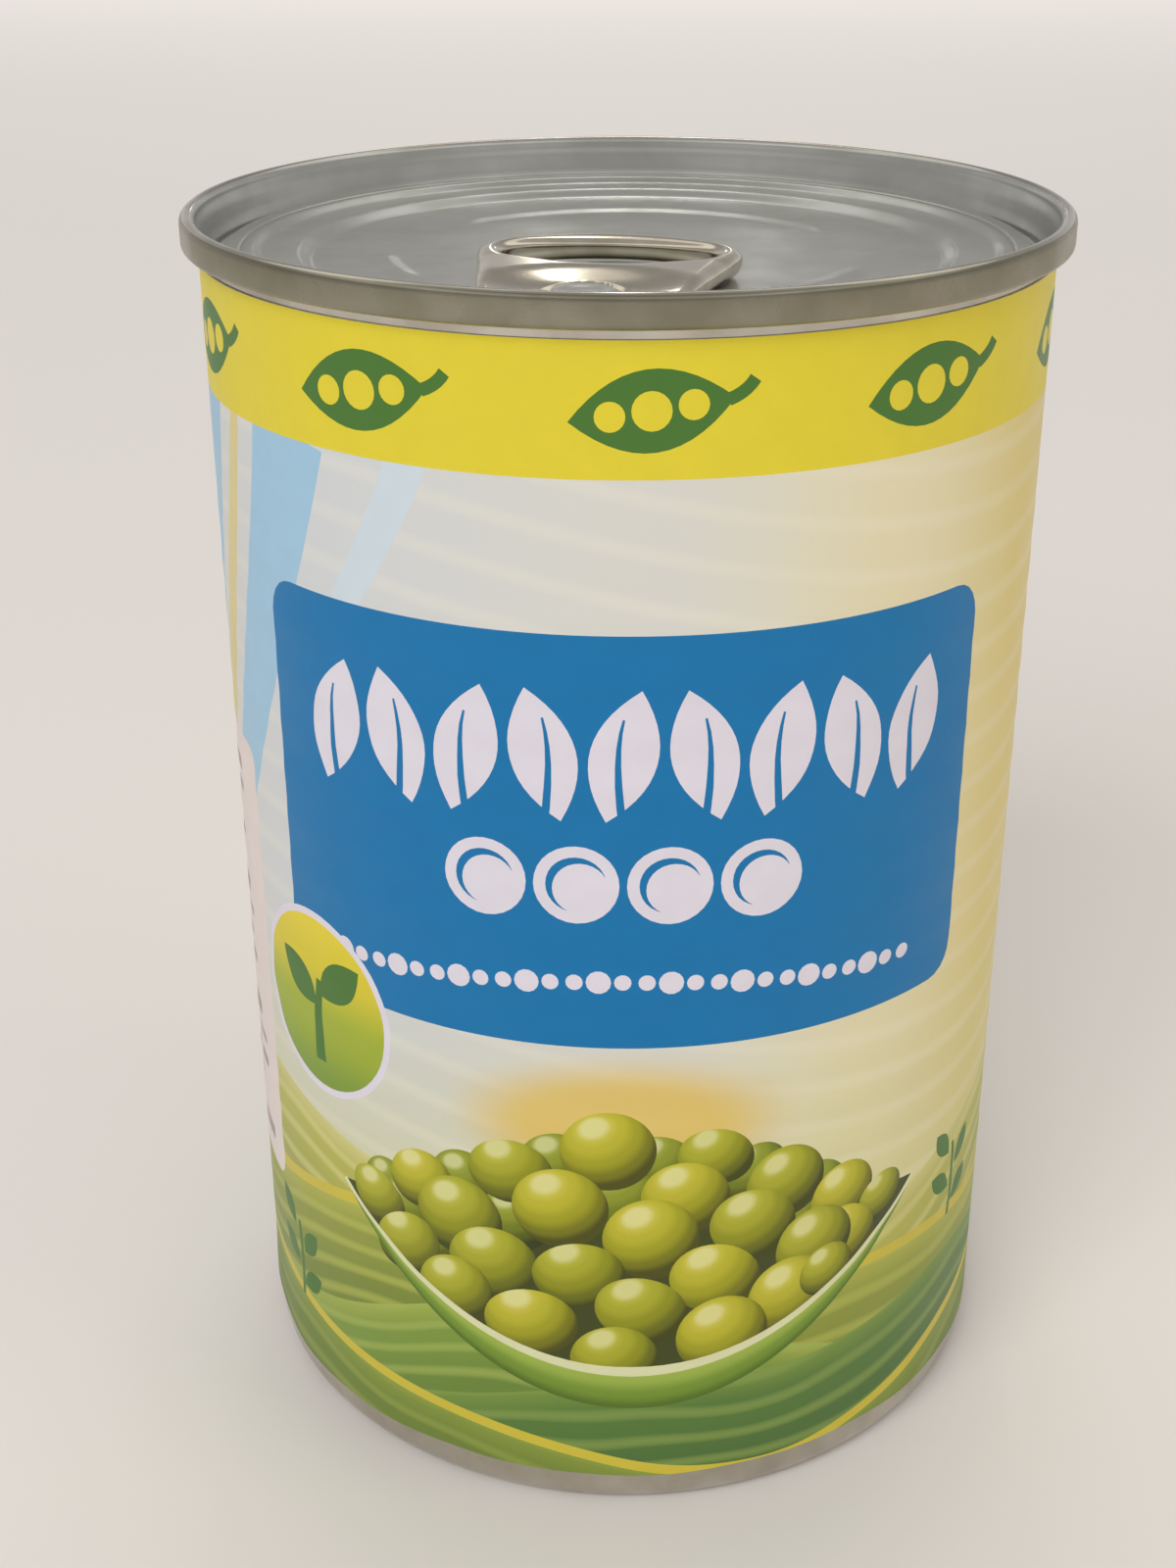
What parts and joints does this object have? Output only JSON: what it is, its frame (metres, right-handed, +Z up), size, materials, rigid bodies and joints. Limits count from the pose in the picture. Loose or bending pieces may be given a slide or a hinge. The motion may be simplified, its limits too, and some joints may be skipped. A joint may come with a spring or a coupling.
{
  "type": "canned processed peas",
  "caption": "Sealed steel food can with a ring-pull end and a printed paper wrap, standing upright.",
  "frame": {"origin": "middle of the stand ring, on the surface that the can stands on", "axes": "+Z up along the can's axis, the label's front faces -Y, +X to the right seen from the front"},
  "size_m": [0.0762, 0.0762, 0.1127],
  "materials": {
    "drawn_tinplate": "bright drawn tinplate",
    "end_tinplate": "satin lacquered tinplate",
    "tab_steel": "pale gold lacquered steel",
    "printed_paper": "satin coated printed paper"
  },
  "bodies": {
    "root": {"can_body": "drawn_tinplate", "seamed_end": "end_tinplate", "ring_pull": "tab_steel", "paper_label": "printed_paper"}
  },
  "joints": []
}
